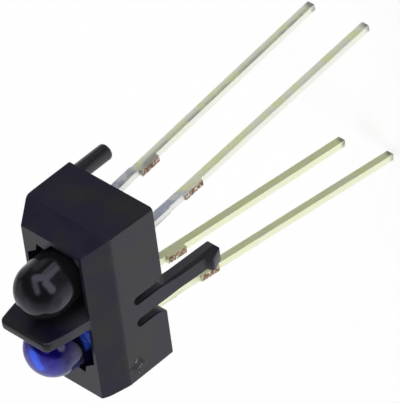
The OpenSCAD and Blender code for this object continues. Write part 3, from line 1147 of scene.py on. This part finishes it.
@dataclass
class Leads:
    """The two stamped leads of one lens package.

    The chip's lead is on the +Y side and has its stub between the leads, and the wire's lead is on the -Y
    side and has its stub on the outer side.
    """

    seat: LensSeat
    names: tuple[str, str]
    pitch: float
    chip_lead_l: float
    post_lead_l: float
    stub_z: float
    head_top: float
    width: float = 0.46
    shoulder_w: float = 0.58
    shoulder_step: float = 0.1
    chip_shoulder_l: float = 3.0
    post_shoulder_l: float = 2.1
    thickness: float = 0.4
    exit_at: float = 1.27
    splay: float = 0.18
    bend_top: float = 0.2
    bend_bottom: float = -0.3
    neck_z: float = 0.9
    neck_top_z: float = 1.2
    neck_foot_z: float = 1.0
    inner_edge: float = 1.2
    stub_l: float = 1.3
    stub_inner: float = 0.22
    stub_outer: float = 0.12
    arm_y: Point = (0.5, -0.3)
    arm_z: Point = (2.3, 1.9)
    post_y: Point = (1.05, 0.65)
    post_z: Vertex = (2.8, 3.6, 2.1)
    edge_r: float = 0.035
    cut_slack: Point = (0.02, 0.03)
    tip_bareness: float = 0.45
    off_front: float = 3.0

    def leg_at(self, z: float, length: float) -> float:
        """Distance of a leg's middle from the axis at a height below the bend."""
        share = (self.bend_bottom - z) / (self.bend_bottom + length)
        return self.pitch / 2 + self.splay * share

    def leg(self, row: int, length: float, head: Sequence[Point]) -> list[Point]:
        """Outline of a lead, drawn on the +Y side.

        Args:
            row: 1 for the chip's lead and -1 for the wire's lead.
            length: Its length below the seat.
            head: The outline inside the lens, from the outer edge of the neck round to its inner edge.

        Returns:
            The whole outline.
        """
        slim, wide = self.width / 2, self.shoulder_w / 2
        shoulder = self.chip_shoulder_l if row > 0 else self.post_shoulder_l
        high, low = self.stub_z + self.stub_l / 2, self.stub_z - self.stub_l / 2
        root, step, upper, lower, tip = (
            self.leg_at(z, length) for z in (self.bend_bottom, -shoulder, high, low, -length)
        )
        edge = -row * slim
        out = edge - row * (self.stub_inner if row > 0 else self.stub_outer)
        stub = [(upper + edge, high), (upper + out, high), (lower + out, low), (lower + edge, low)]
        return [
            (self.exit_at - slim, self.bend_top), (root - wide, self.bend_bottom), (step - slim, -shoulder),
            *(stub if row > 0 else []), (tip - slim, -length),
            (tip + slim, -length), *(reversed(stub) if row < 0 else []),
            (step + slim, -shoulder - self.shoulder_step), (step + wide, -shoulder),
            (root + wide, self.bend_bottom), (self.exit_at + slim, self.bend_top),
            (self.exit_at + slim, self.neck_z), (self.inner_edge, self.neck_top_z),
            *head, (self.exit_at - slim, self.neck_foot_z),
        ]

    def chip_head(self) -> list[Point]:
        """The arm that carries the chip over the middle of the lens.

        Returns:
            Its outline.
        """
        (near, far), (high, low) = self.arm_y, self.arm_z
        top = self.head_top
        return [(self.inner_edge, high), (near, top), (far, top), (far, high), (near, low)]

    def post_head(self) -> list[Point]:
        """Outline of the post that takes the bond wire."""
        (outer, inner), (high, top, low) = self.post_y, self.post_z
        return [(self.inner_edge, high), (outer, top), (inner, top), (inner, low)]

    def mark_cuts(self, piece: bpy.types.Object, length: float) -> None:
        """Marks the faces that were sheared, and how far across the lead each corner of a face lies.

        Args:
            piece: The finished lead.
            length: Its length below the seat.
        """
        back = (TO_METRES @ self.seat.matrix()).inverted()
        turn = back.to_3x3().normalized()
        half, (slack_z, slack_y) = self.width / 2, self.cut_slack
        across = piece.data.attributes.new("across", "FLOAT", "CORNER")
        mark = piece.data.attributes.new("sheared", "FLOAT", "FACE")
        for polygon in piece.data.polygons:
            place, normal = back @ polygon.center, turn @ polygon.normal
            on_leg = abs(place.z - self.stub_z) < self.stub_l / 2 + slack_z
            beyond = abs(abs(place.y) - self.leg_at(place.z, length)) > half + slack_y
            at_end = on_leg and beyond and abs(normal.y) > FACES
            at_tip = place.z < -length + slack_z and normal.z < -FACES
            mark.data[polygon.index].value = 1.0 if at_end else self.tip_bareness if at_tip else 0.0
            for corner in polygon.loop_indices:
                spot = back @ piece.data.vertices[piece.data.loops[corner].vertex_index].co
                off = spot.y - math.copysign(self.leg_at(spot.z, length), spot.y)
                across.data[corner].value = off / half if normal.x > FACES else self.off_front - normal.y

    def build(self, material: Material, head: Bench) -> None:
        """Builds and dresses the chip's lead and the wire's lead.

        Args:
            material: Their finish.
            head: The chip's cup or pad.
        """
        rows = ((1, self.chip_lead_l, self.chip_head()), (-1, self.post_lead_l, self.post_head()))
        for name, (row, length, inside) in zip(self.names, rows):
            outline = [(row * y, z) for y, z in self.leg(row, length, inside)]
            lead = Bench.prism(outline, "YZ", -self.thickness / 2, self.thickness / 2)
            if row > 0:
                lead.combine(head, "UNION")
            lead.soften(self.edge_r, 35.0)
            place = self.seat.matrix()
            piece = lead.finish(name + "_plated", place, material, "tinned_lead", [name], 30.0)
            self.mark_cuts(piece, length)


@dataclass
class ChipSeats:
    """The cup and the pad that carry the two chips."""

    head_r: float = 0.5
    head_z: float = 2.9
    head_top: float = 3.5
    cup_depth: float = 0.28
    cup_top_r: float = 0.4
    cup_floor_r: float = 0.25
    pad_half: float = 0.45
    pad_t: float = 0.4
    pad_top: float = 3.2

    def cup(self) -> Bench:
        """Round head with a conical reflector cup.

        Returns:
            The mesh.
        """
        floor = self.head_top - self.cup_depth
        profile = [
            (0.0, self.head_z), (self.head_r, self.head_z), (self.head_r, self.head_top),
            (self.cup_top_r, self.head_top), (self.cup_floor_r, floor), (0.0, floor),
        ]
        return Bench.turned(profile, 48)

    def pad(self) -> Bench:
        """Square pad under the detector's chip."""
        half = self.pad_half
        return Bench.block((-half, -half, self.pad_top - self.pad_t), (half, half, self.pad_top))


@dataclass(frozen=True)
class InnerPieces:
    """The chips, their glue and the bond wires, which keep their solids' shapes."""

    finishes: tuple[InnerFinish, ...] = (
        InnerFinish(
            "chip", "sawn_silicon", (0.10, 0.11, 0.15), (0.20, 0.21, 0.26), 0.6, 0.25, 0.2, 14.0,
            stretch=(0.3, 3.0, 6.0),
        ),
        InnerFinish(
            "die_attach", "silver_glue", (0.50, 0.50, 0.51), (0.68, 0.68, 0.69), 0.5, 0.45, 0.2, 25.0,
            detail=4.0,
        ),
        InnerFinish("bond_wire", "bond_gold", (0.90, 0.66, 0.24), (0.97, 0.75, 0.34), 1.0, 0.2, 0.1, 30.0),
    )

    def dress(self) -> None:
        """Gives each of them its finish."""
        for finish in self.finishes:
            material = finish.material()
            for name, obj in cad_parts.items():
                if name.endswith(finish.ending):
                    obj.data.materials.clear()
                    obj.data.materials.append(material)
                    LOG.info("dressed %s", name)


# Studio


@dataclass(frozen=True)
class Lamp:
    """One soft square panel that points at the object."""

    name: str
    at: Vertex
    side: float
    power: float

    def hang(self) -> None:
        """Hangs the panel."""
        data = bpy.data.lights.new(self.name, "AREA")
        data.shape, data.energy = "RECTANGLE", self.power
        data.size = data.size_y = self.side * MM
        panel = bpy.data.objects.new(self.name, data)
        panel.location = Vector(self.at) * MM
        panel.rotation_euler = panel.location.to_track_quat("Z", "Y").to_euler()
        panel.visible_glossy = False
        bpy.context.scene.collection.objects.link(panel)


@dataclass(frozen=True)
class LightTent:
    """The white tent round the object, open and dark on the side that faces its dark axis."""

    dark_axis: Vertex = (0.935, -0.265, 0.235)
    dark_level: float = 0.03
    dark_from: float = 0.72
    light_from: float = -0.20
    ambient: float = 0.50
    shades: tuple[Patch, ...] = (
        Patch((0.77, 0.565, -0.29), 3.0, 9.0, 0.25),
        Patch((0.48, 0.56, -0.675), 6.0, 12.0, -0.62),
        Patch((-0.64, -0.56, -0.53), 12.0, 18.0, 0.25),
        Patch((-0.45, -0.86, -0.10), 8.0, 14.0, -0.30),
        Patch((-0.05, -0.55, 0.84), 25.0, 30.0, -0.50),
        Patch((0.12, 0.72, 0.69), 22.0, 22.0, -0.45),
        Patch((-0.30, 0.94, 0.05), 10.0, 20.0, -0.45),
        Patch((0.30, 0.94, -0.05), 16.0, 14.0, -0.42),
    )
    windows: tuple[Strip, ...] = (
        Strip((0.935, 0.260, 0.235), (0.962, -0.243, -0.127), 0.18, 0.11, 1.85),
        Strip((0.973, -0.066, 0.221), (0.380, 0.310, -0.870), 0.00, 0.12, 1.80),
        Strip((0.885, 0.180, 0.400), (0.520, -0.350, 0.790), 0.06, 0.18, 1.50),
        Strip((0.860, -0.500, 0.080), (0.470, -0.860, 0.020), 0.16, 0.17, 2.00),
    )

    def level(self, g: Graph, toward: Value) -> Value:
        """How bright the tent is in a direction.

        Args:
            g: The nodes that it is worked out in.
            toward: The direction, one unit long.

        Returns:
            The brightness.
        """
        lit = g.dot(toward, self.dark_axis).fall(self.light_from, self.dark_from)
        level = self.dark_level + (1.0 - self.dark_level) * lit
        for shade in self.shades:
            level = level + shade.level * shade.share(g, toward)
        level = level.most(0.0)
        for window in self.windows:
            level = level.most(window.level * window.share(g, toward))
        return level

    def world(self) -> None:
        """Even surroundings: white to the camera and through glass, the tent's walls in reflections."""
        world = bpy.data.worlds.new("surroundings")
        bpy.context.scene.world = world
        g = Graph(world)
        clear = g.ray("Camera").most(g.ray("Transmission"))
        walls = self.level(g, g.node("TexCoord", output="Generated"))
        mirror = g.ray("Glossy") * (1.0 - clear)
        level = self.ambient * (1.0 - clear) * (1.0 - mirror) + mirror * walls + clear
        g.end(g.node("Background", inputs={"Strength": level}), "ShaderNodeOutputWorld")


@dataclass(frozen=True)
class Floor:
    """A plain white sheet under the leads, which shows a faint shadow and stays out of reflections."""

    height: float = -18.2
    half: float = 400.0
    paper: Colour = (0.86, 0.86, 0.86)
    fibre: Colour = (0.88, 0.88, 0.88)
    light: Colour = (1.0, 1.0, 1.0)
    glow: float = 0.17
    glow_share: float = 0.62

    def lay(self) -> None:
        """Lays the sheet."""
        clear_selection()
        bpy.ops.mesh.primitive_plane_add(size=2 * self.half * MM, location=(0, 0, self.height * MM))
        sheet = Bench(bpy.context.active_object).settle().obj
        sheet.name = "floor"
        g = Graph.material("floor_paper")
        seen = g.ray("Camera")
        colour = g.mix(g.noise(0.8, detail=4.0), self.paper, self.fibre)
        paper = g.node("BsdfDiffuse", inputs={"Color": colour})
        glow = g.node("Emission", inputs={"Color": self.light, "Strength": 1.0 + self.glow * seen})
        share = (seen * self.glow_share).most(g.ray("Transmission"))
        g.end(g.node("MixShader", inputs={0: share, 1: paper, 2: glow}))
        sheet.visible_glossy = False
        sheet.data.materials.append(g.owner)


@dataclass(frozen=True)
class Studio:
    """The tent, its lamps, the floor and the camera."""

    azimuth: float = 49.622
    elevation: float = 29.843
    roll: float = -128.161
    distance: float = 297.476
    target: Vertex = (1.787, -1.655, -4.242)
    focal_px: float = 6000.0
    clip: Point = (0.01, 10.0)
    lamps: tuple[Lamp, ...] = (
        Lamp("key", (-90.0, -220.0, 160.0), 220.0, 0.25),
        Lamp("top", (-60.0, 120.0, 260.0), 200.0, 0.20),
        Lamp("fill", (230.0, 0.0, 110.0), 160.0, 0.20),
    )

    def camera(self) -> None:
        """Places the camera at the photo's viewing angle."""
        turn = Matrix.Identity(4)
        for angle, axis in ((self.azimuth, "Z"), (90.0 - self.elevation, "X"), (self.roll, "Z")):
            turn = turn @ Matrix.Rotation(math.radians(angle), 4, axis)
        spot = (Vector(self.target) + turn @ Vector((0, 0, self.distance))) * MM
        data = bpy.data.cameras.new("camera")
        data.sensor_width = FILM_MM
        data.lens = self.focal_px * FILM_MM / max(IMAGE_SIZE)
        data.clip_start, data.clip_end = self.clip
        camera = bpy.data.objects.new("camera", data)
        camera.matrix_world = Matrix.Translation(spot) @ turn
        bpy.context.scene.collection.objects.link(camera)
        bpy.context.scene.camera = camera

    def build(self) -> None:
        """Sets up the whole studio."""
        self.camera()
        for lamp in self.lamps:
            lamp.hang()
        LightTent().world()
        Floor().lay()
        bpy.context.scene.view_settings.view_transform = "Standard"


def main() -> None:
    """Builds the studio and every visible piece."""
    Studio().build()
    emitter, detector = LensSeat(Side.EMITTER, 2.66, 7.6), LensSeat(Side.DETECTOR, 2.56, 6.8)
    Housing((emitter, detector)).build()
    Lens(emitter, "emitter_lens", BlueEpoxy(), "blue_epoxy").build()
    Lens(detector, "detector_lens", BlackEpoxy(), "black_epoxy").build()
    chips, tin = ChipSeats(), TinnedMetal().material()
    Leads(
        emitter, ("emitter_cathode_lead", "emitter_anode_lead"), pitch=2.3, chip_lead_l=17.3,
        post_lead_l=18.1, stub_z=-4.45, head_top=chips.head_z + 0.2,
    ).build(tin, chips.cup())
    Leads(
        detector, ("detector_collector_lead", "detector_emitter_lead"), pitch=3.0, chip_lead_l=16.6,
        post_lead_l=17.0, stub_z=-3.8, head_top=chips.pad_top - chips.pad_t / 2,
    ).build(tin, chips.pad())
    InnerPieces().dress()


if __name__ == "__main__":
    main()
